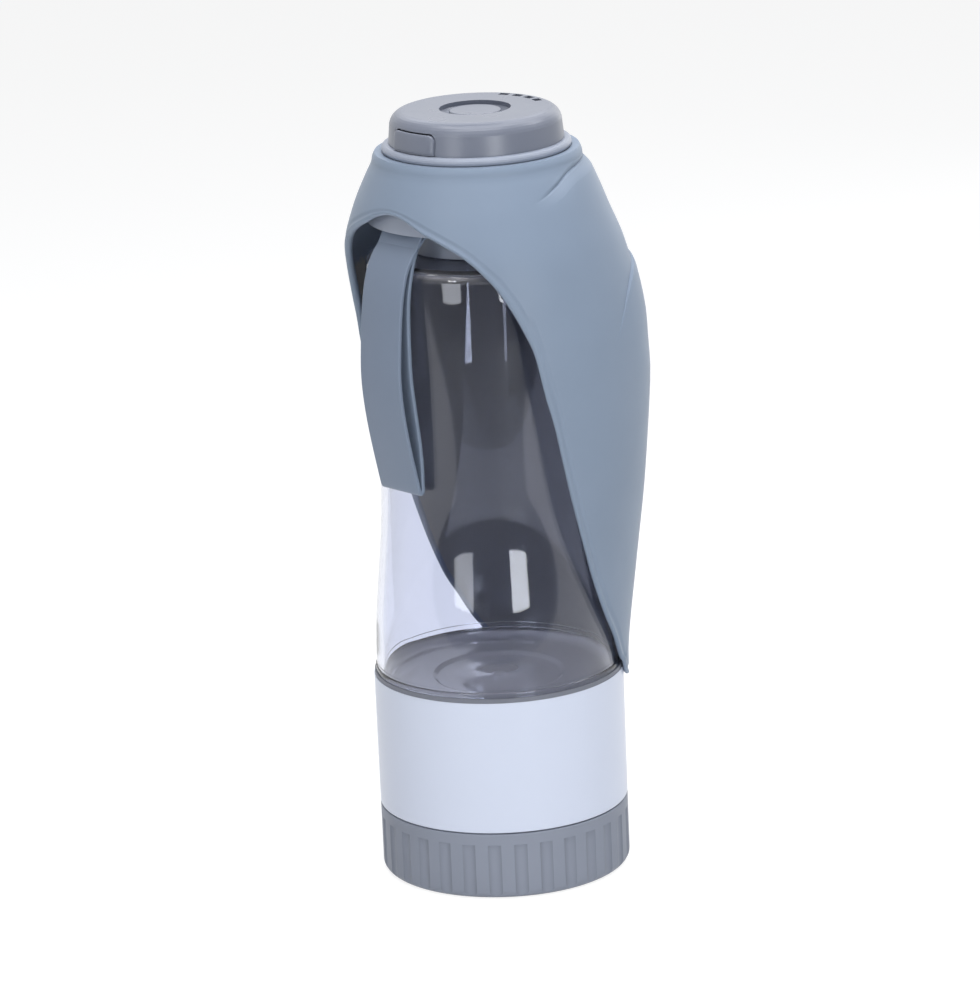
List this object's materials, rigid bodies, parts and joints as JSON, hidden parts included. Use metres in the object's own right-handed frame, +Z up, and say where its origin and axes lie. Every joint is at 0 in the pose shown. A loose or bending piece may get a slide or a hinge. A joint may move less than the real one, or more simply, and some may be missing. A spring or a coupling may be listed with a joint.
{
  "type": "dog travel water bottle",
  "caption": "Clear pet travel bottle with a food cup below, a silicone drinking leaf folded round it, a push-button dispensing cap and a carry strap.",
  "frame": {"origin": "centre of the base cap's bottom face, on the bottle's axis", "axes": "+Z up along the bottle's axis; -Y to the side with the strap and the push button; +Y to the spine of the drinking leaf; +X to the right seen from the front"},
  "size_m": [0.0926, 0.0964, 0.2427],
  "materials": {
    "cap_plastic": "satin",
    "base_plastic": "satin",
    "cup_plastic": "smooth",
    "clear_plastic": "clear",
    "leaf_silicone": "soft satin",
    "strap_silicone": "soft satin",
    "seal_rubber": "matt",
    "inner_plastic": "smooth",
    "spring_steel": "drawn wire"
  },
  "bodies": {
    "bottle": {"bottle_body": "clear_plastic", "cup_seal": "seal_rubber", "food_cup": "cup_plastic"},
    "base_ring": {"base_seal": "seal_rubber"},
    "base": {"base_cap": "base_plastic"},
    "neck_ring": {"neck_seal": "seal_rubber"},
    "head": {"dispenser_body": "cap_plastic", "drinking_leaf": "leaf_silicone", "strap_pin": "cap_plastic", "strap_anchor": "strap_silicone", "cap_shell": "cap_plastic", "cap_seal": "seal_rubber", "knob_seal": "seal_rubber", "valve_spring": "spring_steel"},
    "button": {"push_button": "cap_plastic"},
    "valve": {"valve_stem": "inner_plastic", "valve_disc": "seal_rubber"},
    "knob": {"lock_knob": "cap_plastic", "outlet_shutter": "inner_plastic"},
    "strap": {"strap_loop": "strap_silicone"}
  },
  "joints": [
    {"name": "base_drop", "type": "slide", "parent": "bottle", "child": "base_ring", "axis": [0, 0, -1], "range_m": [0, 0.01801]},
    {"name": "base_turn", "type": "hinge", "parent": "base_ring", "child": "base", "pos_m": [0, 0, 0], "axis": [0, 0, -1], "range_deg": [0, 1080]},
    {"name": "head_lift", "type": "slide", "parent": "bottle", "child": "neck_ring", "axis": [0, 0, 1], "range_m": [0, 0.01501]},
    {"name": "head_turn", "type": "hinge", "parent": "neck_ring", "child": "head", "pos_m": [0, 0, 0], "axis": [0, 0, 1], "range_deg": [0, 1080]},
    {"name": "button_press", "type": "slide", "parent": "head", "child": "button", "axis": [0, 1, 0], "range_m": [0, 0.0025], "stiffness_N_per_m": 1200, "springref_m": -0.001},
    {"name": "valve_drop", "type": "slide", "parent": "head", "child": "valve", "axis": [0, 0, -1], "range_m": [0, 0.00151], "deforming": ["valve_spring"]},
    {"name": "lock_turn", "type": "hinge", "parent": "head", "child": "knob", "pos_m": [0, 0, 0.2425], "axis": [0, 0, 1], "range_deg": [0, 90]},
    {"name": "strap_swing", "type": "hinge", "parent": "head", "child": "strap", "pos_m": [0, -0.0334, 0.207], "axis": [-1, 0, 0], "range_deg": [0, 60]}
  ],
  "couplings": [
    {"joint": "base_drop", "follows": "base_turn", "m_per_rad": 0.00095493},
    {"joint": "head_lift", "follows": "head_turn", "m_per_rad": 0.00079577},
    {"joint": "valve_drop", "follows": "button_press", "ratio": 0.6}
  ]
}
